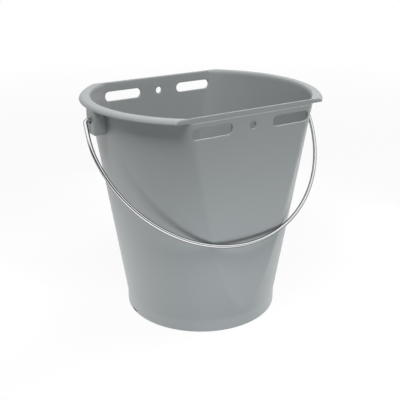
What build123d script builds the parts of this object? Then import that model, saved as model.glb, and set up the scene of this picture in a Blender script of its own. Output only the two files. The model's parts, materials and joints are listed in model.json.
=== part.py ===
import os
from math import atan, cos, degrees, hypot, pi, radians, sin, sqrt, tan

from build123d import *

# Calf feeder bucket: a moulded tub with two flat sides and a hinged wire bail.
# Millimetres, +Z up, origin at the middle of the foot, X from ear to ear, front flat towards -Y.

# Tub
tub_height = 300.0
wall = 3.6
top_radius = 146.8
base_radius = 102.8
foot_height = 17.0
floor_underside = 8.0
floor_thickness = 3.4
skirt_thickness = 2.8
floor_round = 9.0

# Flat sides, with a thinner band along the top edge
flat_offset = 116.4
flat_foot_offset = 106.1
corner_round = 14.0
band_height = 6.8
band_step = 0.4

# Rim at the two round ends
rim_flat = 6.0
rim_droop = 3.2
rim_lip = 1.8
rim_lip_round = 0.8
rim_root = 2.4
brim_round = 1.6

# Hanging slots and hole, the same in both flats
slot_length = 56.2
slot_width = 13.5
slot_spacing = 114.9
slot_drop = 19.8
hang_hole = 9.5

# Drain notches in the foot ring
notch_count = 2
notch_width = 8.0
notch_height = 3.0
notch_angle = 176.0

# Bail wire: hook, hinge bend, straight leg, shoulder arc and main arc
wire = 5.0
hook_tip = 4.7
hook_inside_bend = 1.0
hinge_inside_bend = 2.5
leg_gap = 5.0
leg_splay = 5.6
leg_length = 19.0
shoulder_radius = 114.0
shoulder_turn = 13.0
hang_gap = 0.3
hang_samples = 400

# Ears that carry the bail, with room for its hooks to turn
ear_plate = 2.4
ear_side = 2.2
ear_roof = 1.2
ear_skirt = 12.5
ear_round = 1.6
hole_play = 3.0
wire_clearance = 0.3
hook_side_gap = 0.3
hook_roof_gap = 2.0
hook_front_gap = 1.8
hook_back_gap = 2.4

# Places on the tub that follow from its sizes
taper = (top_radius - base_radius) / tub_height
taper_angle = atan(taper)
draft_angle = atan((flat_offset - flat_foot_offset) / tub_height)
foot_radius = base_radius + taper * foot_height
floor_top = floor_underside + floor_thickness
rim_underside = tub_height - rim_droop - rim_lip

# Places on the ears and the bail that follow from the wire and the rim
hook_bend = wire / 2 + hook_inside_bend
hinge_bend = wire / 2 + hinge_inside_bend
hook_reach = hook_bend + hook_tip
hook_sweep = hypot(hook_reach, wire / 2)
pocket_width = 2 * (hook_sweep + hook_side_gap)
pocket_roof = rim_underside - ear_roof
ear_width = pocket_width + 2 * ear_side
bail_hole = wire + hole_play
hinge_height = pocket_roof - hook_roof_gap - hook_sweep
bail_hole_height = hinge_height + wire_clearance - hole_play / 2
ear_bottom = bail_hole_height - bail_hole / 2 - ear_skirt


def outer_radius(height):
    """Radius of the tub's outer face on its round sides."""
    return base_radius + taper * height


def flat_distance(height):
    """Distance of a flat's outer face from the tub's axis."""
    return flat_offset - (tub_height - height) * tan(draft_angle)


hook_offset = outer_radius(pocket_roof) + hook_back_gap + wire / 2
rim_radius = hook_offset + wire / 2 + hook_front_gap + ear_plate
leg_offset = rim_radius + leg_gap + wire / 2


def flat_plane(side, inset):
    """Plane of one flat at rim height, facing out, set in from the outer face."""
    outward = Vector(0, side * cos(draft_angle), -sin(draft_angle))
    top_middle = Vector(0, side * flat_offset, tub_height)
    return Plane(origin=top_middle - outward * inset, x_dir=(-side, 0, 0), z_dir=outward)


def tapered_form(inset, bottom):
    """Solid taper with its two flats, set in from the tub's outer faces."""
    shift = inset / cos(taper_angle)
    with BuildPart() as form:
        with BuildSketch(Plane.XZ):
            with BuildLine():
                Polyline(
                    (0, bottom),
                    (outer_radius(bottom) - shift, bottom),
                    (top_radius - shift, tub_height),
                    (0, tub_height),
                    close=True,
                )
            make_face()
        revolve(axis=Axis.Z)
        for side in (-1, 1):
            split(bisect_by=flat_plane(side, inset), keep=Keep.BOTTOM)
        fillet(form.edges().filter_by(GeomType.HYPERBOLA), corner_round - inset)
    return form.part


def rim_ring():
    """Drooping rim, cut off just inside the flats so that only the round ends keep it."""
    top_inner = (top_radius - wall / 2, tub_height)
    top_outer = (top_radius + rim_flat, tub_height)
    edge_top = (rim_radius, tub_height - rim_droop)
    edge_bottom = (rim_radius, rim_underside + rim_lip_round)
    lip_bottom = (rim_radius - rim_lip_round, rim_underside)
    root_outer = (outer_radius(rim_underside) + rim_root, rim_underside)
    root_inner = (outer_radius(rim_underside - rim_root) - wall / 4, rim_underside - rim_root)
    inside_wall = (root_inner[0] - wall / 4, root_inner[1])
    with BuildPart() as ring:
        with BuildSketch(Plane.XZ):
            with BuildLine():
                Line(top_inner, top_outer)
                TangentArc(top_outer, edge_top, tangent=(1, 0))
                Line(edge_top, edge_bottom)
                TangentArc(edge_bottom, lip_bottom, tangent=(0, -1))
                Line(lip_bottom, root_outer)
                TangentArc(root_outer, root_inner, tangent=(-1, 0))
                Polyline(root_inner, inside_wall, top_inner)
            make_face()
        revolve(axis=Axis.Z)
        for side in (-1, 1):
            split(bisect_by=flat_plane(side, band_step / 2), keep=Keep.BOTTOM)
    return ring.part


with BuildPart() as cavity:
    add(tapered_form(wall, floor_top))
    fillet(cavity.faces().sort_by(Axis.Z)[0].edges(), floor_round)

with BuildPart() as shell:
    add(tapered_form(0, 0))
    Cylinder(foot_radius, foot_height, align=(Align.CENTER, Align.CENTER, Align.MIN))
    add(cavity.part, mode=Mode.SUBTRACT)
    brim = shell.faces().sort_by(Axis.Z)[-1]
    fillet(brim.inner_wires()[0].edges(), brim_round)

with BuildPart() as pail:
    # A hollow ear under each end of the rim, open downwards
    with BuildSketch(Plane.XY.offset(ear_bottom)):
        Rectangle(2 * rim_radius, ear_width)
    extrude(amount=rim_underside + rim_lip_round - ear_bottom)
    fillet(pail.edges().filter_by(Axis.Z), ear_round)
    with BuildSketch(Plane.XY.offset(ear_bottom)):
        Rectangle(2 * (rim_radius - ear_plate), pocket_width)
    extrude(amount=pocket_roof - ear_bottom, mode=Mode.SUBTRACT)
    with BuildSketch(Plane.YZ):
        with Locations((0, bail_hole_height)):
            Circle(bail_hole / 2)
    extrude(amount=rim_radius, both=True, mode=Mode.SUBTRACT)
    add(tapered_form(wall / 2, 0), mode=Mode.SUBTRACT)

    # Wall with its floor and foot, and the rim
    add(shell.part)
    add(rim_ring())

    # Thinner band along the top of each flat
    for side in (-1, 1):
        with BuildSketch(flat_plane(side, band_step)):
            Rectangle(2 * rim_radius, 2 * band_height)
        extrude(amount=rim_radius, mode=Mode.SUBTRACT)

    # Slots and hanging hole through both flats
    with BuildSketch(Plane.XZ):
        with Locations((0, tub_height - slot_drop)):
            Circle(hang_hole / 2)
            with GridLocations(slot_spacing, 0, 2, 1):
                SlotOverall(slot_length, slot_width)
    extrude(amount=rim_radius, both=True, mode=Mode.SUBTRACT)

    # Hollow foot with its drain notches
    Cylinder(
        foot_radius - skirt_thickness,
        floor_underside,
        align=(Align.CENTER, Align.CENTER, Align.MIN),
        mode=Mode.SUBTRACT,
    )
    with PolarLocations(foot_radius, notch_count, start_angle=notch_angle):
        Box(
            4 * skirt_thickness,
            notch_width,
            notch_height,
            align=(Align.CENTER, Align.CENTER, Align.MIN),
            mode=Mode.SUBTRACT,
        )
pail.part.label = "pail"


def bail_half():
    """Right half of the bail in its own plane, hinge axis along X and the loop towards -Y."""
    lean = shoulder_turn - leg_splay
    hook = Line((hook_offset, -hook_reach), (hook_offset, -hook_bend))
    turn_in = JernArc(hook @ 1, hook % 1, hook_bend, -90)
    stub = Line(turn_in @ 1, (leg_offset - hinge_bend, 0))
    turn_out = JernArc(stub @ 1, stub % 1, hinge_bend, leg_splay - 90)
    leg = PolarLine(turn_out @ 1, leg_length, direction=turn_out % 1)
    shoulder = JernArc(leg @ 1, leg % 1, shoulder_radius, -shoulder_turn)
    main_radius = (shoulder @ 1).X / cos(radians(lean))
    main_arc = JernArc(shoulder @ 1, shoulder % 1, main_radius, lean - 90)
    return leg, shoulder, main_arc


with BuildLine() as bail_shape:
    loop_edges = bail_half()
loop_points = [edge @ (step / hang_samples) for edge in loop_edges for step in range(hang_samples + 1)]


def wall_gap(side, front, height):
    """Level distance of a point from the tub's outer face, with the rounded corner beside the front flat."""
    inner_radius = outer_radius(height) - corner_round
    inner_flat = flat_distance(height) - corner_round
    corner_side = sqrt(max(inner_radius**2 - inner_flat**2, 0))
    if side < corner_side:
        return front - flat_distance(height)
    if side * inner_flat > front * corner_side:
        return hypot(side, front) - outer_radius(height)
    return hypot(side - corner_side, front - inner_flat) - corner_round


def hang_clearance(tilt):
    """Least gap between the wire and the tub's front with the bail tilted forward from plumb."""
    gaps = []
    for point in loop_points:
        front = -point.Y * sin(tilt)
        height = hinge_height + point.Y * cos(tilt)
        gaps.append(wall_gap(point.X, front, height) * cos(taper_angle))
    return min(gaps) - wire / 2


# The bail hangs forward until its wire rests on the two corners of the front flat
touching, clear = 0.0, radians(90)
while clear - touching > 1e-6:
    middle = (touching + clear) / 2
    if hang_clearance(middle) < hang_gap:
        touching = middle
    else:
        clear = middle
hang_tilt = clear
bail_plane = Plane(
    origin=(0, 0, hinge_height),
    x_dir=(1, 0, 0),
    z_dir=(0, -cos(hang_tilt), sin(hang_tilt)),
)

with BuildPart() as bail:
    with BuildLine(bail_plane) as bail_path:
        bail_half()
        mirror(about=Plane.YZ)
    with BuildSketch(Plane(origin=bail_path.line @ 0, z_dir=bail_path.line % 0)):
        Circle(wire / 2)
    sweep()
bail.part.label = "bail"

print(f"bail hangs {degrees(hang_tilt):.2f} degrees forward of plumb, hinge at {hinge_height:.3f} mm")
print(f"rim radius {rim_radius:.3f}, ear width {ear_width:.3f}, ear bottom {ear_bottom:.3f}")
wire_length = sum(edge.length for edge in bail_path.edges())
print(f"bail volume {bail.part.volume:.1f}, section times length {pi * wire**2 / 4 * wire_length:.1f}")

os.makedirs("parts", exist_ok=True)
export_step(pail.part, "parts/pail.step")
export_step(bail.part, "parts/bail.step")
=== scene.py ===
import json

import bpy
import numpy as np
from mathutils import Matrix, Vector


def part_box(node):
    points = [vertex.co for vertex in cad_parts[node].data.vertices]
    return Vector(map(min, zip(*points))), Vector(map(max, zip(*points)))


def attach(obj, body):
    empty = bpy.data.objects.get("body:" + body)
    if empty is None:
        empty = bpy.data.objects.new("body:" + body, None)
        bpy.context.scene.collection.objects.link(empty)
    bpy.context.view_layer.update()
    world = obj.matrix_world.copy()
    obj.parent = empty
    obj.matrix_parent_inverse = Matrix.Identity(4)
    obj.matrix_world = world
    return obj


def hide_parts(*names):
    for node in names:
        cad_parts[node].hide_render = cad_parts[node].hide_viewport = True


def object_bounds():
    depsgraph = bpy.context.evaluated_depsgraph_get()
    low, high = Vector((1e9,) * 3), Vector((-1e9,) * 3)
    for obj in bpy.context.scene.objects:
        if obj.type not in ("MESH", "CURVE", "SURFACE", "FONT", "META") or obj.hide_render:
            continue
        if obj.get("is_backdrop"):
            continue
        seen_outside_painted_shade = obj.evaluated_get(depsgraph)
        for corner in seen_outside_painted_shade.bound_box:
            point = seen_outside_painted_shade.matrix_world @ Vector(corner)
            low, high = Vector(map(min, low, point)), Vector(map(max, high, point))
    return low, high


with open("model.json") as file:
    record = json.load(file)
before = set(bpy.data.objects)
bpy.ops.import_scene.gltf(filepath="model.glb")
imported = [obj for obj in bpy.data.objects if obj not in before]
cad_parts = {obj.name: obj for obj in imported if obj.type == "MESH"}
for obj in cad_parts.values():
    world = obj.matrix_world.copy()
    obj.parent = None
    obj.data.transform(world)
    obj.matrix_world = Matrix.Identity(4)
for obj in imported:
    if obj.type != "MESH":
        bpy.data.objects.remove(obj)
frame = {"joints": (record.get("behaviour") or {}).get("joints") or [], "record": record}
cad_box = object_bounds()

# Tub
# One injection moulding of grey polypropylene, tapered so that it leaves its mould and stacks. Two flats
# cut into its round wall carry the hanging slots and holes, and only the round ends have a drooping rim.
tub_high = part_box("pail")[1]
tub_height = tub_high.z
rim_radius = tub_high.x
top_radius = 0.1468
base_radius = 0.1028
wall = 0.0036
flat_offset = 0.1164
flat_foot_offset = 0.1061
flat_draft = np.arctan((flat_offset - flat_foot_offset) / tub_height)
corner_round = 0.014
taper = (top_radius - base_radius) / tub_height
taper_angle = np.arctan(taper)
least_cosine = 0.1


def outline(height, out):
    """One level of the tub, a circle cut by two chords: its radius, the chords' distance, the radius of the
    rounded corners and how far their centres lie to the side, all moved out from the outer face."""
    radius = base_radius + taper * height + out / np.cos(taper_angle)
    chord = flat_offset - (tub_height - height) * np.tan(flat_draft) + out / np.cos(flat_draft)
    rounding = corner_round + out
    centre = np.sqrt(np.maximum((radius - rounding) ** 2 - (chord - rounding) ** 2, 0))
    return radius, chord, rounding, centre


def polar_reach(angle, height, out):
    """Distance of a level's edge from the axis at an angle from the flat's middle: chord, corner arc or
    circle, whichever that angle meets. A least cosine keeps the chord finite at angles far past its end."""
    radius, chord, rounding, centre = outline(height, out)
    along = centre * np.sin(angle) + (chord - rounding) * np.cos(angle)
    power = centre**2 + (chord - rounding) ** 2 - rounding**2
    corner = along + np.sqrt(np.maximum(along**2 - power, 0))
    flat_end = np.arctan2(centre, chord)
    corner_end = np.arctan2(centre, chord - rounding)
    straight = chord / np.maximum(np.cos(angle), least_cosine)
    return np.where(angle < flat_end, straight, np.where(angle < corner_end, corner, radius))


def side_reach(x, height, out):
    """Distance of a level's edge from the plane through both ears at a place along the flat."""
    radius, chord, rounding, centre = outline(height, out)
    corner = chord - rounding + np.sqrt(np.maximum(rounding**2 - (x - centre) ** 2, 0))
    circle = np.sqrt(np.maximum(radius**2 - x**2, 0))
    corner_end = radius * centre / (radius - rounding)
    return np.where(x < centre, chord, np.where(x < corner_end, corner, circle))


def out_from_wall(radius, height):
    """How far out from the tub's outer face a point at this radius and height lies."""
    return (radius - base_radius - taper * height) * np.cos(taper_angle)


def arc_points(radius, height, size, start, end, count):
    """Radii and heights along an arc of a size about a centre, between two angles in degrees."""
    angle = np.radians(np.linspace(start, end, count))
    return radius + size * np.cos(angle), height + size * np.sin(angle)


def falling_arc(start, end, count):
    """An arc that leaves its start level and falls to its end, as radii and heights."""
    fall = start[1] - end[1]
    size = (fall**2 + (end[0] - start[0]) ** 2) / (2 * fall)
    last = np.degrees(np.arctan2(end[1] - start[1] + size, end[0] - start[0]))
    return arc_points(start[0], start[1] - size, size, 90, last, count)


def rows(place, flat=None, hold=0.0, shrink=1.0):
    """Rows of the tub's section from radii and heights on the round ends. flat gives distances out and
    heights on the flats where they differ, hold keeps a row to its full circle at the corners, and shrink
    pulls it in."""
    radius, height = place
    out = out_from_wall(np.asarray(radius), np.asarray(height))
    flat_out, flat_height = (out, height) if flat is None else flat
    return np.stack(np.broadcast_arrays(out, height, flat_out, flat_height, hold, shrink), axis=-1)


def wall_rows(heights, out):
    """Rows along the straight wall at one distance out from its outer face."""
    return rows((base_radius + taper * heights + out / np.cos(taper_angle), heights), flat=(out, heights))


# Heights at which the slots and holes pierce the wall, from the record's mount
slots = next(mount for mount in frame["record"]["mounts"] if mount["name"] == "front_slots")
slot_height = slots["pos_m"][2]
slot_radius = slots["dims"]["hole_r_mm"] / 1000
slot_straight = slots["dims"]["slot_length_mm"] / 2000 - slot_radius
slot_side = slots["dims"]["spacing_x_mm"] / 2000
hole_radius = 0.00475
window_margin = 0.0036
window_rows = 14
window_heights = slot_height + np.linspace(-1, 1, window_rows) * (slot_radius + window_margin)

# The inside: floor, the round bend above it, wall and rounded brim
floor_top = 0.0114
floor_round = 0.009
brim_round = 0.0016
end_brim_width = 0.0024
end_brim_height = 0.005
middle_shares = np.array([0.03, 0.2, 0.4, 0.6, 0.8, 0.93])
bend_steps = 11
inside_steps = 44
brim_steps = 9
bend_height = floor_top + floor_round
bend_radius = base_radius + taper * bend_height - (wall + floor_round) / np.cos(taper_angle)
bend = arc_points(bend_radius, bend_height, floor_round, -90, -np.degrees(taper_angle), bend_steps)
low_inside = np.linspace(bend[1][-1], window_heights[0], inside_steps)[1:-1]
high_inside = np.linspace(window_heights[-1], tub_height - end_brim_height, 5)[1:-1]
inside_heights = np.concatenate([low_inside, window_heights, high_inside])
brim_turn = np.radians(np.linspace(0, 90, brim_steps))
brim_out = end_brim_width * (1 - np.cos(brim_turn)) - wall
brim_heights = tub_height - end_brim_height * (1 - np.sin(brim_turn))
flat_brim_out = brim_round * (1 - np.cos(brim_turn)) - wall
flat_brim_heights = tub_height - brim_round * (1 - np.sin(brim_turn))
inside_rows = np.concatenate([
    rows((bend_radius, floor_top), shrink=middle_shares),
    rows(bend),
    wall_rows(inside_heights, -wall),
    rows((base_radius + taper * brim_heights + brim_out / np.cos(taper_angle), brim_heights),
         flat=(flat_brim_out, flat_brim_heights)),
])

# The rim on the round ends. On the flats the same rows make the bare edge and the thinner band below it
rim_flat = 0.0046
rim_droop = 0.0042
rim_lip = 0.0008
rim_lip_round = 0.0006
rim_root = 0.0024
band_height = 0.0068
band_step = 0.0004
edge_round = 0.0006
rim_top_gap = 0.0002
rim_underside = tub_height - rim_droop - rim_lip
root_height = rim_underside - rim_root
root_start = base_radius + taper * rim_underside + rim_root
step_height = tub_height - band_height
edge_steps = 10
step_rows = 4
rim_inner_out = np.linspace(brim_out[-1], 0, 4)[1:-1]
rim_inner_flat = np.linspace(flat_brim_out[-1], -band_step - edge_round, 5)[1:3]
rim_top = np.linspace(top_radius + rim_top_gap, top_radius + rim_flat, 4)
rim_top_flat = np.linspace(rim_inner_flat[-1], -band_step - edge_round, 5)[1:]
droop = falling_arc((top_radius + rim_flat, tub_height), (rim_radius, tub_height - rim_droop), edge_steps)
edge_turn = np.radians(np.linspace(0, 90, edge_steps))
edge_out = -band_step - edge_round * (1 - np.sin(edge_turn))
edge_heights = tub_height - edge_round * (1 - np.cos(edge_turn))
lip = arc_points(rim_radius - rim_lip_round, rim_underside + rim_lip_round, rim_lip_round, 0, -90, 6)
under_radius = np.linspace(lip[0][-1], root_start, 8)[1:]
under_heights = np.full(len(under_radius), rim_underside)
under = np.append(lip[0], under_radius), np.append(lip[1], under_heights)
band_heights = np.linspace(edge_heights[-1], rim_underside, len(under[0]) + 1)[1:]
root_end = (base_radius + taper * root_height, root_height)
root = falling_arc((root_start, rim_underside), root_end, 2 * step_rows + 1)
root_hold = np.linspace(1, 0, 2 * step_rows + 1)
root_heights = np.concatenate([
    np.linspace(rim_underside, step_height + band_step / 2, step_rows + 1)[1:],
    np.linspace(step_height - band_step / 2, root_height, step_rows),
])
root_out = np.repeat([-band_step, 0.0], step_rows)
rim_rows = np.concatenate([
    rows((top_radius + rim_inner_out, tub_height), flat=(rim_inner_flat, tub_height)),
    rows((rim_top, tub_height), flat=(rim_top_flat, tub_height), hold=1.0),
    rows(droop, flat=(edge_out, edge_heights), hold=1.0)[1:],
    rows(under, flat=(-band_step, band_heights), hold=1.0),
    rows((root[0][1:], root[1][1:]), flat=(root_out, root_heights), hold=root_hold[1:]),
])

# The outside: wall, straight foot band, ring and the hollow under the floor
foot_height = 0.017
foot_round = 0.0008
foot_radius = base_radius + taper * foot_height
skirt_thickness = 0.0028
skirt_radius = foot_radius - skirt_thickness
floor_underside = 0.008
underside_round = 0.002
notch_height = 0.003
kink = 0.0005
foot_middle = [0.012, 0.007]
sole_top = 0.0018
skirt_top = 0.0045
outside_steps = 50
high_outside = np.linspace(root_height, window_heights[-1], 4)[1:-1]
low_outside = np.linspace(window_heights[0], foot_height + kink, outside_steps)[1:]
outside_heights = np.concatenate([high_outside, window_heights[::-1], low_outside])
foot_heights = np.array([foot_height - kink, *foot_middle, notch_height, sole_top])
sole_outer = arc_points(foot_radius - foot_round, foot_round, foot_round, 0, -90, 5)
sole_inner = arc_points(skirt_radius + foot_round, foot_round, foot_round, -90, -180, 5)
skirt_heights = np.array([sole_top, notch_height, skirt_top])
ceiling = arc_points(
    skirt_radius - underside_round, floor_underside - underside_round, underside_round, 0, 90, 6
)
foot_rows = [
    rows((foot_radius, foot_heights)),
    rows(sole_outer),
    rows(sole_inner),
    rows((skirt_radius, skirt_heights)),
]
outside_rows = np.concatenate([
    wall_rows(outside_heights, 0.0),
    *foot_rows,
    rows(ceiling),
    rows((ceiling[0][-1], floor_underside), shrink=middle_shares[::-1]),
])
section = np.concatenate([inside_rows, rim_rows, outside_rows])

# A quarter of the tub, from the middle of a flat to an ear, then its mirrored copies round the axis
flat_columns = 30
corner_columns = 12
round_columns = 36
quarter_columns = flat_columns + corner_columns + round_columns
vertex_height = 0.04
corner_start = 0.1
ease_share = 0.5
fade_power = 4


def tub_quarter():
    """Each row's distances along X and Y and its height, over the columns of a quarter.

    The columns cross the flat in equal steps, turn the corner and follow the round end to the ear. Their
    angles follow the flat's edge, which narrows downwards, and keep their spread below the vertex height.
    A held row, as on the rim, keeps to its full circle from where the flat's plane cuts it. Any other row
    follows the tub's outline, and passes from the flat's section to the round end's over the ease share of
    the corner. Nothing stands out past the flat's plane."""
    out, height, flat_out, flat_height, hold, shrink = (column[:, None] for column in section.T)
    radius = outline(height, out)[0]
    chord, rounding, centre = outline(
        np.maximum(flat_height, vertex_height), np.clip(flat_out, -wall, 0)
    )[1:]
    flat_end = np.arctan2(centre, chord)
    corner_end = np.arctan2(centre, chord - rounding)
    corner_turn = corner_end - flat_end
    clip = np.arccos(np.clip(outline(height, flat_out)[1] / radius, -1, 1))
    corner_share = np.linspace(corner_start, 1, corner_columns)
    round_share = np.linspace(0, 1, round_columns + 1)[1:]
    wall_angle = np.hstack([
        flat_end + corner_share * corner_turn, corner_end + round_share * (np.pi / 2 - corner_end),
    ])
    rim_start = clip + corner_turn
    rim_angle = np.hstack([
        clip + (corner_share - corner_start) / (1 - corner_start) * corner_turn,
        rim_start + round_share * (np.pi / 2 - rim_start),
    ])
    flat_angle = np.arctan(np.linspace(0, 1, flat_columns + 1) * np.tan(flat_end))
    flat_reach = polar_reach(flat_angle, flat_height, flat_out)
    wall_share = np.hstack([(corner_share - corner_start) / (1 - corner_start), np.ones(round_columns)])
    ease = np.clip(wall_share / ease_share, 0, 1)
    end_out = np.where(hold > 0, out * wall_share**fade_power, flat_out + (out - flat_out) * ease)
    end_height = np.where(hold > 0, height, flat_height + (height - flat_height) * ease)
    wall_reach = polar_reach(wall_angle, end_height, end_out)
    end_across = (1 - hold) * wall_reach * np.sin(wall_angle) + hold * radius * np.sin(rim_angle)
    end_deep = (1 - hold) * wall_reach * np.cos(wall_angle) + hold * radius * np.cos(rim_angle)
    limit = outline(end_height, np.where(end_height > step_height, -band_step, 0.0))[1]
    end_deep = np.minimum(end_deep, limit)
    heights = np.hstack([np.broadcast_to(flat_height, flat_angle.shape), end_height])
    across = np.hstack([flat_reach * np.sin(flat_angle), end_across]) * shrink
    deep = np.hstack([flat_reach * np.cos(flat_angle), end_deep]) * shrink
    return across, deep, heights


across, deep, high = tub_quarter()
tub_points = np.stack([
    np.hstack([across[:, :-1], across[:, :0:-1], -across[:, :-1], -across[:, :0:-1]]),
    np.hstack([-deep[:, :-1], deep[:, :0:-1], deep[:, :-1], -deep[:, :0:-1]]),
    np.hstack([high[:, :-1], high[:, :0:-1], high[:, :-1], high[:, :0:-1]]),
], axis=-1)
row_count, column_count = tub_points.shape[:2]
tub_points = tub_points.reshape(-1, 3)
tub_index = np.arange(row_count * column_count).reshape(row_count, column_count)


def grid_quads(index):
    """Quads between neighbouring rows and columns of point numbers. They face outwards where rows run down
    the outside and columns run anticlockwise seen from above."""
    return np.stack([index[:-1, :-1], index[1:, :-1], index[1:, 1:], index[:-1, 1:]], axis=-1)


def window_border(index, row_numbers, column_numbers):
    """Point numbers round a window, anticlockwise from outside, for rows that run up and columns that run
    to the right."""
    window = index[np.ix_(row_numbers, column_numbers)]
    return np.concatenate([window[0, :-1], window[:-1, -1], window[-1, :0:-1], window[:0:-1, 0]])


def pierce(points, outer, inner, axis, face, depth, middle, straight, radius, edge):
    """Points and quads of a hole from a window in the outer face to the one behind it in the inner face.

    The hole's outline lies at its radius from a straight line, which is a point for a round hole. Rings of
    points run from each border towards their nearest places on that line, over a rounded edge and through
    the wall. face turns places in the face and a depth below it into points."""
    shares = np.array([0.66, 0.33, 0.0])
    turn = np.radians(np.array([30, 60, 90]))
    grown = edge * (1 - np.sin(turn))
    sunken = edge * (1 - np.cos(turn))
    rings = [(outer, edge, share, 0.0) for share in shares]
    rings += [(outer, grow, 0.0, sunk) for grow, sunk in zip(grown, sunken)]
    rings += [(inner, grow, 0.0, depth - sunk) for grow, sunk in zip(grown[::-1], sunken[::-1])]
    rings += [(inner, edge, share, depth) for share in shares[::-1]]
    made = []
    for border, grow, share, sunk in rings:
        place = points[border][:, [axis, 2]]
        nearest = np.clip(place[:, 0] - middle[0], -straight, straight)
        spine = np.stack([middle[0] + nearest, np.full(len(place), middle[1])], axis=1)
        away = place - spine
        edge_place = spine + away / np.linalg.norm(away, axis=1, keepdims=True) * (radius + grow)
        made.append(face(edge_place + share * (place - edge_place), sunk))
    first = len(points)
    new_index = first + np.arange(len(made) * len(outer)).reshape(len(made), -1)
    index = np.vstack([outer, new_index, inner])
    quads = grid_quads(np.hstack([index, index[:, :1]])).reshape(-1, 4)
    return np.vstack([points, *made]), quads[:, ::-1]


def flat_face(side):
    """The face function of one flat: places along X and Z, sunk below the flat's outer face."""
    def face(place, sunk):
        y = side * side_reach(np.abs(place[:, 0]), place[:, 1], -sunk)
        return np.stack([place[:, 0], y, place[:, 1]], axis=1)
    return face


inner_first = len(middle_shares) + len(bend[0]) + len(low_inside)
inner_window = inner_first + np.arange(len(window_heights))
outer_first = len(inside_rows) + len(rim_rows) + len(high_outside)
outer_window = outer_first + np.arange(len(window_heights))[::-1]
slot_row = across[outer_window[len(outer_window) // 2]]
slot_first = np.searchsorted(slot_row, slot_side - slot_straight - slot_radius - window_margin) - 1
slot_last = np.searchsorted(slot_row, slot_side + slot_straight + slot_radius + window_margin)
hole_last = np.searchsorted(slot_row, hole_radius + window_margin)
half_turn = 2 * quarter_columns
windows = [
    (-1, slot_first, slot_last, slot_side, slot_straight, slot_radius),
    (-1, -slot_last, -slot_first, -slot_side, slot_straight, slot_radius),
    (-1, -hole_last, hole_last, 0.0, 0.0, hole_radius),
    (1, half_turn - slot_last, half_turn - slot_first, slot_side, slot_straight, slot_radius),
    (1, half_turn + slot_first, half_turn + slot_last, -slot_side, slot_straight, slot_radius),
    (1, half_turn - hole_last, half_turn + hole_last, 0.0, 0.0, hole_radius),
]
tub_quads = grid_quads(np.hstack([tub_index, tub_index[:, :1]]))
kept = np.ones(tub_quads.shape[:2], dtype=bool)
hole_quads = []
slot_edge = 0.0004
for side, first, last, place, straight, radius in windows:
    columns = np.arange(first, last + 1) % column_count
    kept[np.ix_(inner_window[:-1], columns[:-1])] = False
    kept[np.ix_(outer_window[1:], columns[:-1])] = False
    tub_points, quads = pierce(
        tub_points,
        window_border(tub_index, outer_window, columns),
        window_border(tub_index, inner_window, columns),
        0, flat_face(side), wall, (place, slot_height), straight, radius, slot_edge,
    )
    hole_quads.append(quads)

# Drain notches cut through the foot ring, at angles from the middle of the front flat
notch_places = np.radians([86, 266])
notch_width = 0.008
notch_columns = 3
foot_first = len(inside_rows) + len(rim_rows) + len(outside_heights)
notch_outer = foot_first + int(np.flatnonzero(foot_heights == notch_height)[0])
skirt_first = foot_first + sum(len(part) for part in foot_rows[:3])
notch_inner = skirt_first + int(np.flatnonzero(skirt_heights == notch_height)[0])
column_angles = np.arctan2(tub_points[tub_index[notch_outer], 0], -tub_points[tub_index[notch_outer], 1])
notch_faces = []
for place in notch_places:
    start = place - notch_width / (2 * foot_radius)
    first = np.argmin(np.abs(np.angle(np.exp(1j * (column_angles - start)))))
    last = first + notch_columns
    kept[notch_outer:notch_inner, first:last] = False
    roof = grid_quads(tub_index[[notch_outer, notch_inner], first:last + 1]).reshape(-1, 4)
    notch_faces += roof.tolist()
    notch_faces.append(tub_index[notch_outer:notch_inner + 1, first].tolist())
    notch_faces.append(tub_index[notch_outer:notch_inner + 1, last][::-1].tolist())

floor_caps = [tub_index[0].tolist(), tub_index[-1][::-1].tolist()]
tub_faces = np.vstack([tub_quads[kept], *hole_quads]).tolist() + notch_faces + floor_caps


class Finish:
    """A socket of one material's nodes. Operators add Math nodes, and node adds any other node."""

    def __init__(self, tree, socket=None):
        self.tree = tree
        self.socket = socket

    def node(self, kind, settings, inputs, output=0):
        """Add a node of a type, set its settings, then give its sockets their values or links."""
        made = self.tree.nodes.new("ShaderNode" + kind)
        for name, value in settings.items():
            setattr(made, name, value)
        for name, value in inputs.items():
            if isinstance(value, Finish):
                self.tree.links.new(value.socket, made.inputs[name])
            else:
                made.inputs[name].default_value = value
        return Finish(self.tree, made.outputs[output] if made.outputs else None)

    def maths(self, operation, first, second):
        """Add a Math node of an operation on two values or sockets."""
        return self.node("Math", {"operation": operation}, {0: first, 1: second})

    def __add__(self, other):
        return self.maths("ADD", self, other)

    def __radd__(self, other):
        return self.maths("ADD", other, self)

    def __mul__(self, other):
        return self.maths("MULTIPLY", self, other)

    def __rmul__(self, other):
        return self.maths("MULTIPLY", other, self)


def new_material(name):
    """An empty node material, and a Finish that adds nodes to it."""
    material = bpy.data.materials.new(name)
    material.use_nodes = True
    material.node_tree.nodes.clear()
    return material, Finish(material.node_tree)


def make_piece(name, points, faces, material, hard_angle):
    """A mesh object at the origin, smooth except at edges sharper than an angle in degrees."""
    mesh = bpy.data.meshes.new(name)
    mesh.from_pydata(points.tolist(), [], faces)
    mesh.shade_smooth()
    mesh.set_sharp_from_angle(angle=np.radians(hard_angle))
    mesh.materials.append(material)
    piece = bpy.data.objects.new(name, mesh)
    bpy.context.scene.collection.objects.link(piece)
    return piece


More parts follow.
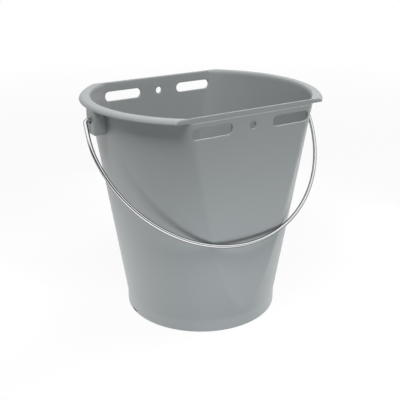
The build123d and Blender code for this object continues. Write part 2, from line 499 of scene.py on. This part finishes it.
# Satin grey plastic: faint broad and fine mottling, uneven gloss and a very fine moulded grain
plastic_grey = np.array([0.370, 0.390, 0.392])
mottling = 0.03
broad_share = 0.6
plastic_roughness = 0.36
broad_roughness = 0.1
fine_roughness = 0.06
plastic_crease = 32
plastic, shade = new_material("satin_grey_plastic")
place = shade.node("TexCoord", {}, {}, "Object")
broad = shade.node("TexNoise", {}, {"Vector": place, "Scale": 14.0, "Detail": 3.0})
fine = shade.node("TexNoise", {}, {"Vector": place, "Scale": 420.0, "Detail": 2.0})
grain = shade.node("TexNoise", {}, {"Vector": place, "Scale": 1500.0, "Detail": 1.0})
colour = shade.node("Mix", {"data_type": "RGBA"}, {
    0: broad_share * broad + (1 - broad_share) * fine,
    6: (*plastic_grey * (1 - mottling), 1),
    7: (*plastic_grey * (1 + mottling), 1),
}, 2)
bump = shade.node("Bump", {}, {"Height": grain, "Strength": 0.08, "Distance": 0.0002})
surface = shade.node("BsdfPrincipled", {}, {
    "Base Color": colour,
    "Roughness": plastic_roughness + broad_roughness * broad + fine_roughness * fine,
    "IOR": 1.49,
    "Normal": bump,
})
shade.node("OutputMaterial", {}, {"Surface": surface})

tub = make_piece("tub", tub_points, tub_faces, plastic, plastic_crease)
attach(tub, "pail")
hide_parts("pail")

# Ears
# A hollow box under each end of the rim, moulded in one with the tub and open downwards. The bail's end
# turns in the round hole of the ear's plate, and its hook behind the plate keeps it from coming out. The
# pocket is just wide enough for the hook to turn, and the wire lies close under the top of the hole.
hinge_height = frame["joints"][0]["pos_m"][2]
wire_radius = 0.0025
hook_bend = 0.0035
hook_tip = 0.0047
hook_side_gap = 0.0003
hole_play = 0.003
wire_clearance = 0.0003
ear_side = 0.0022
ear_half = np.hypot(hook_bend + hook_tip, wire_radius) + hook_side_gap + ear_side
ear_plate = 0.0024
ear_roof = 0.0012
ear_skirt = 0.0125
ear_round = 0.0016
pocket_round = 0.0006
ear_edge = 0.0005
bail_hole_edge = 0.0004
bail_hole_radius = wire_radius + hole_play / 2
bail_hole_height = hinge_height + wire_clearance - hole_play / 2
ear_bottom = bail_hole_height - bail_hole_radius - ear_skirt
ear_top = rim_underside + rim_lip_round
pocket_roof = rim_underside - ear_roof
ear_window_height = 0.0022
ear_window_side = 0.0018
ear_window = bail_hole_height + np.linspace(-1, 1, 11) * (bail_hole_radius + ear_window_height)
side_columns = 8
turn_columns = 6
plate_columns = 18


def ear_wall(share, height):
    """The ear's U-shaped wall at a share of its thickness and a height: back into the tub's wall on each
    side, round two corners and across the plate."""
    side = np.linspace(0, 1, side_columns + 1)[:-1]
    turn = np.linspace(-np.pi / 2, 0, turn_columns + 1)[:-1]
    plate = np.linspace(-1, 1, plate_columns + 1)
    reach = np.concatenate([side, np.ones(turn_columns * 2 + plate_columns + 1), side[::-1]])
    angle = np.concatenate([
        np.full(side_columns, -np.pi / 2), turn, np.zeros(plate_columns + 1),
        -turn[::-1], np.full(side_columns, np.pi / 2),
    ])
    along = np.concatenate([
        np.full(side_columns + turn_columns, -1.0), plate, np.full(side_columns + turn_columns, 1.0),
    ])
    share, height = share[:, None], height[:, None]
    half = ear_half - share * ear_side
    front = rim_radius - share * ear_plate
    rounding = ear_round + share * (pocket_round - ear_round)
    back = base_radius + taper * height - wall / 2
    x = back + (front - rounding - back) * reach + rounding * np.cos(angle)
    y = (half - rounding) * along + rounding * np.sin(angle)
    return np.stack([x, y, np.broadcast_to(height, x.shape)], axis=-1)


ear_turn = np.radians(np.linspace(0, 90, 4))
edge_share = ear_edge / ear_plate
outer_heights = np.concatenate([
    [ear_top, (ear_top + ear_window[-1]) / 2], ear_window[::-1],
    np.linspace(ear_window[0], ear_bottom + ear_edge, 5)[1:],
])
inner_heights = np.concatenate([
    np.linspace(ear_bottom + ear_edge, ear_window[0], 5)[:-1], ear_window,
    [(ear_window[-1] + pocket_roof) / 2, pocket_roof],
])
rounded_heights = ear_bottom + ear_edge * (1 - np.sin(ear_turn[1:]))
ear_heights = np.concatenate([outer_heights, rounded_heights, rounded_heights[::-1], inner_heights])
ear_shares = np.concatenate([
    np.zeros(len(outer_heights)),
    edge_share * (1 - np.cos(ear_turn[1:])),
    1 - edge_share * (1 - np.cos(ear_turn[:0:-1])),
    np.ones(len(inner_heights)),
])
ear_points = ear_wall(ear_shares, ear_heights)
ear_index = np.arange(ear_points[..., 0].size).reshape(ear_points.shape[:2])
ear_points = ear_points.reshape(-1, 3)
plate_middle = side_columns + turn_columns + plate_columns // 2
plate_column = 2 * (ear_half - ear_round) / plate_columns
hole_reach = int(np.ceil((bail_hole_radius + ear_window_side) / plate_column))
hole_columns = np.arange(plate_middle - hole_reach, plate_middle + hole_reach + 1)
ear_outer_window = 2 + np.arange(len(ear_window))[::-1]
ear_inner_window = len(ear_heights) - 2 - len(ear_window) + np.arange(len(ear_window))
ear_quads = grid_quads(ear_index)
ear_kept = np.ones(ear_quads.shape[:2], dtype=bool)
ear_kept[np.ix_(ear_outer_window[1:], hole_columns[:-1])] = False
ear_kept[np.ix_(ear_inner_window[:-1], hole_columns[:-1])] = False


def plate_face(place, sunk):
    """Places along Y and Z on the ear's plate, sunk below its outer face."""
    return np.stack([np.full(len(place), rim_radius - sunk), place[:, 0], place[:, 1]], axis=1)


ear_points, ear_hole = pierce(
    ear_points,
    window_border(ear_index, ear_outer_window, hole_columns),
    window_border(ear_index, ear_inner_window, hole_columns),
    1, plate_face, ear_plate, (0.0, bail_hole_height), 0.0, bail_hole_radius, bail_hole_edge,
)
ear_back = np.concatenate([ear_index[:, -1], ear_index[::-1, 0]])
ear_caps = [ear_index[0].tolist(), ear_index[-1][::-1].tolist(), ear_back.tolist()]
ear_faces = np.vstack([ear_quads[ear_kept], ear_hole]).tolist() + ear_caps
half_turned = np.array([-1, -1, 1])
for name, points in (("ear_right", ear_points), ("ear_left", ear_points * half_turned)):
    ear = make_piece(name, points, ear_faces, plastic, plastic_crease)
    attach(ear, "pail")
    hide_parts("pail")

# Bail
# Steel wire of 5 mm, drawn, bent to a loop and then zinc plated. Each end runs through an ear's hole and is
# bent down behind the plate as a hook. It hangs forward until it rests on the corners of the front flat.
hook_back_gap = 0.0024
hook_offset = base_radius + taper * pocket_roof + hook_back_gap + wire_radius
hinge_bend = 0.005
leg_gap = 0.005
leg_offset = rim_radius + leg_gap + wire_radius
leg_splay = np.radians(5.6)
leg_length = 0.019
shoulder_radius = 0.114
shoulder_turn = np.radians(13)
bail_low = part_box("bail")[0]
tilt = np.arctan2(-bail_low.y - wire_radius, hinge_height - bail_low.z - wire_radius)


def wire_line(start, heading, runs):
    """Points and headings along straight runs and arcs, each of a length, a turn and a number of steps."""
    points, headings = [], []
    for length, turn, count in runs:
        share = np.linspace(0, 1, count + 1)
        angle = heading + turn * share
        if turn:
            radius = length / turn
            along = radius * (np.sin(angle) - np.sin(heading))
            aside = radius * (np.cos(heading) - np.cos(angle))
        else:
            along = length * share * np.cos(heading)
            aside = length * share * np.sin(heading)
        line = start + np.stack([along, aside], axis=1)
        points.append(line[:-1])
        headings.append(angle[:-1])
        start, heading = line[-1], angle[-1]
    return np.vstack([*points, start]), np.append(np.concatenate(headings), heading)


def arc_run(radius, turn, count):
    """A run along an arc that turns clockwise."""
    return radius * turn, -turn, count


stub = leg_offset - hinge_bend - hook_offset - hook_bend
half_start = np.array([hook_offset, -hook_bend - hook_tip])
half_runs = [
    (hook_tip, 0.0, 4),
    arc_run(hook_bend, np.pi / 2, 10),
    (stub, 0.0, 4),
    arc_run(hinge_bend, np.pi / 2 - leg_splay, 12),
    (leg_length, 0.0, 10),
    arc_run(shoulder_radius, shoulder_turn, 16),
]
lean = shoulder_turn - leg_splay
shoulder_end = wire_line(half_start, np.pi / 2, half_runs)[0][-1]
main_radius = shoulder_end[0] / np.cos(lean)
half_runs.append(arc_run(main_radius, np.pi / 2 - lean, 64))
half_line, half_heading = wire_line(half_start, np.pi / 2, half_runs)
mirrored = np.array([-1, 1])
bail_line = np.vstack([half_line * mirrored, half_line[-2::-1]])
bail_heading = np.concatenate([np.pi - half_heading, np.pi + half_heading[-2::-1]])
sides = 32
inset = 0.00002
end_share = 0.8
around = np.linspace(0, 2 * np.pi, sides, endpoint=False)
ring_radius = np.full(len(bail_line), wire_radius - inset)
ring_radius[[0, -1]] *= end_share
normal = np.stack([-np.sin(bail_heading), np.cos(bail_heading)], axis=1)
in_plane = bail_line[:, None] + normal[:, None] * (ring_radius[:, None] * np.cos(around))[..., None]
lifted = ring_radius[:, None] * np.sin(around)
bail_points = np.stack([
    in_plane[..., 0],
    in_plane[..., 1] * np.sin(tilt) - lifted * np.cos(tilt),
    hinge_height + in_plane[..., 1] * np.cos(tilt) + lifted * np.sin(tilt),
], axis=-1).reshape(-1, 3)
bail_index = np.arange(len(bail_points)).reshape(-1, sides)
bail_quads = grid_quads(np.hstack([bail_index, bail_index[:, :1]])).reshape(-1, 4)
bail_faces = bail_quads.tolist() + [bail_index[0].tolist(), bail_index[-1][::-1].tolist()]

# Bright zinc: mirror-like with a faint patchy bloom, its colour painted darker towards the edges as dark
# reflections
zinc_bright = np.array([0.91, 0.925, 0.93])
zinc_painted_edge_shade = np.array([0.06, 0.062, 0.065])
painted_shade_start = 0.14
painted_shade_end = 0.54
zinc_roughness = 0.05
bloom_roughness = 0.08
wire_crease = 40
zinc, shade = new_material("bright_zinc_wire")
place = shade.node("TexCoord", {}, {}, "Object")
bloom = shade.node("TexNoise", {}, {"Vector": place, "Scale": 60.0, "Detail": 3.0})
# Painted reflection: the colour darkens where the wire turns away from view, standing in for dark
# surroundings mirrored at its edges
facing = shade.node("LayerWeight", {}, {"Blend": 0.5}, "Facing")
painted_edge_shade = shade.node("MapRange", {}, {"Value": facing, "From Min": painted_shade_start, "From Max": painted_shade_end})
colour = shade.node("Mix", {"data_type": "RGBA"}, {
    0: painted_edge_shade,
    6: (*zinc_bright, 1),
    7: (*zinc_painted_edge_shade, 1),
}, 2)
surface = shade.node("BsdfPrincipled", {}, {
    "Base Color": colour,
    "Metallic": 1.0,
    "Roughness": zinc_roughness + bloom_roughness * bloom,
})
shade.node("OutputMaterial", {}, {"Surface": surface})

bail = make_piece("wire_bail", bail_points, bail_faces, zinc, wire_crease)
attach(bail, "bail")
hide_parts("bail")

# Floor, light and camera
# A plain pale floor runs out of sight under a white surround, and inside the foot ring it is painted dark
# as shade for the hollow there. Two soft lamps overhead and small ones low around the bucket light it. The
# camera stands where the photo was taken.
floor_size = 6.0
floor_bounce = 0.08
floor_pale = 0.95
floor_glow = 0.9
glow_start = 0.5
glow_end = 2.0
floor_mesh = bpy.data.meshes.new("floor")
floor_corners = np.array([[-1, -1, 0], [1, -1, 0], [1, 1, 0], [-1, 1, 0]]) * floor_size
floor_mesh.from_pydata(floor_corners.tolist(), [], [[0, 1, 2, 3]])
floor = bpy.data.objects.new("floor", floor_mesh)
bpy.context.scene.collection.objects.link(floor)
floor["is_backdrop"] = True


def ray(shade, kind):
    """One where a ray is of a kind, otherwise none."""
    return shade.node("LightPath", {}, {}, "Is " + kind + " Ray")


# The floor is near white where it is seen or mirrored outside the foot ring, and throws little light back
# on the bucket
floor_finish, shade = new_material("pale_floor")
clear = shade.maths("MAXIMUM", ray(shade, "Camera"), ray(shade, "Transmission"))
seen = shade.maths("MAXIMUM", clear, ray(shade, "Glossy"))
dim = shade.node("BsdfDiffuse", {}, {"Color": (floor_bounce, floor_bounce, floor_bounce, 1)})
pale = shade.node("BsdfDiffuse", {}, {"Color": (floor_pale, floor_pale, floor_pale, 1)})
glow = shade.node("Emission", {}, {"Color": (1, 1, 1, 1), "Strength": 1.0})
place = shade.node("TexCoord", {}, {}, "Object")
far = shade.node("VectorMath", {"operation": "LENGTH"}, {0: place}, "Value")
# Inside the foot ring the seen floor drops its glow and takes the dim colour: painted shade for the hollow
# under the bucket
outside_painted_hollow_shade = shade.node("MapRange", {}, {
    "Value": far, "From Min": foot_radius - foot_round, "From Max": foot_radius,
})
seen_outside_painted_shade = seen * outside_painted_hollow_shade
matte = shade.node("MixShader", {}, {0: seen_outside_painted_shade, 1: dim, 2: pale})
share = shade.node("MapRange", {}, {
    "Value": far, "From Min": glow_start, "From Max": glow_end, "To Min": floor_glow, "To Max": 1.0,
})
mixed = shade.node("MixShader", {}, {0: seen_outside_painted_shade * share, 1: matte, 2: glow})
shade.node("OutputMaterial", {}, {"Surface": mixed})
floor_mesh.materials.append(floor_finish)

# The surround is white where it is seen, and mirrored as white only behind the bucket
surround_light = 0.03
backdrop_side = (0.380, 0.596, 0.707)
backdrop_blur = 0.1
world = bpy.data.worlds.new("surround")
bpy.context.scene.world = world
world.use_nodes = True
world.node_tree.nodes.clear()
shade = Finish(world.node_tree)
clear = shade.maths("MAXIMUM", ray(shade, "Camera"), ray(shade, "Transmission"))
direction = shade.node("TexCoord", {}, {}, "Generated")
behind = shade.node("VectorMath", {"operation": "DOT_PRODUCT"}, {0: direction, 1: backdrop_side}, "Value")
backdrop = shade.node("MapRange", {}, {
    "Value": behind, "From Min": -backdrop_blur, "From Max": backdrop_blur,
})
white = shade.maths("MAXIMUM", clear, ray(shade, "Glossy") * backdrop)
sky = shade.node("Background", {}, {
    "Color": (1, 1, 1, 1), "Strength": surround_light + (1 - surround_light) * white,
})
shade.node("OutputWorld", {}, {"Surface": sky})


def soft_lamp(name, place, target, width, depth, power, tint):
    """A rectangular lamp at a place, turned to a target, its width level, and not seen in reflections."""
    lamp = bpy.data.lights.new(name, "AREA")
    lamp.shape = "RECTANGLE"
    lamp.size = width
    lamp.size_y = depth
    lamp.energy = power
    lamp.color = tint
    holder = bpy.data.objects.new(name, lamp)
    bpy.context.scene.collection.objects.link(holder)
    holder.visible_glossy = False
    aim = np.array(target) - np.array(place)
    holder.location = place
    holder.rotation_euler = (
        np.arctan2(np.hypot(aim[0], aim[1]), -aim[2]), 0, np.arctan2(aim[0], -aim[1]) + np.pi,
    )


neutral = (1, 1, 1)
cool = (0.93, 0.97, 1)
soft_lamp("overhead_left", (-0.6, -0.38, 1.35), (0, 0, 0.15), 0.6, 0.4, 11.0, neutral)
soft_lamp("overhead_right", (0.5, -0.4, 1.35), (0, 0, 0.15), 0.6, 0.4, 10.4, neutral)
soft_lamp("front_left", (-0.2, -0.311, 0.03), (0, -0.05, 0.1), 0.3, 0.05, 0.44, cool)
soft_lamp("front_right", (0.2, -0.42, 0.03), (0, -0.05, 0.1), 0.3, 0.05, 0.48, cool)
soft_lamp("left", (-0.42, 0.3, 0.08), (0, 0, 0.08), 0.15, 0.12, 0.4, neutral)
soft_lamp("left_near", (-0.32, 0.14, 0.03), (0, 0, 0.03), 0.1, 0.05, 0.36, neutral)
soft_lamp("right", (0.5, -0.1, 0.03), (0, 0, 0.05), 0.15, 0.05, 1.4, neutral)
soft_lamp("back", (0.3, 0.5, 0.08), (0, 0, 0.1), 0.3, 0.1, 0.6, neutral)

camera_distance = 0.869752
camera_height = 0.490183
camera_bearing = np.radians(-32.593)
camera_heading = np.radians(-32.536)
camera_pitch = np.radians(21.576)
camera_data = bpy.data.cameras.new("camera")
camera_data.sensor_width = 36.0
camera_data.sensor_fit = "HORIZONTAL"
camera_data.lens = 60.487
camera = bpy.data.objects.new("camera", camera_data)
bpy.context.scene.collection.objects.link(camera)
camera.location = (
    camera_distance * np.sin(camera_bearing), -camera_distance * np.cos(camera_bearing), camera_height,
)
camera.rotation_euler = (np.pi / 2 - camera_pitch, 0, camera_heading)
bpy.context.scene.camera = camera
bpy.context.scene.view_settings.view_transform = "Standard"

boxes = {"cad": cad_box, "visual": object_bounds()}
{name: [list(corner) for corner in box] for name, box in boxes.items()}
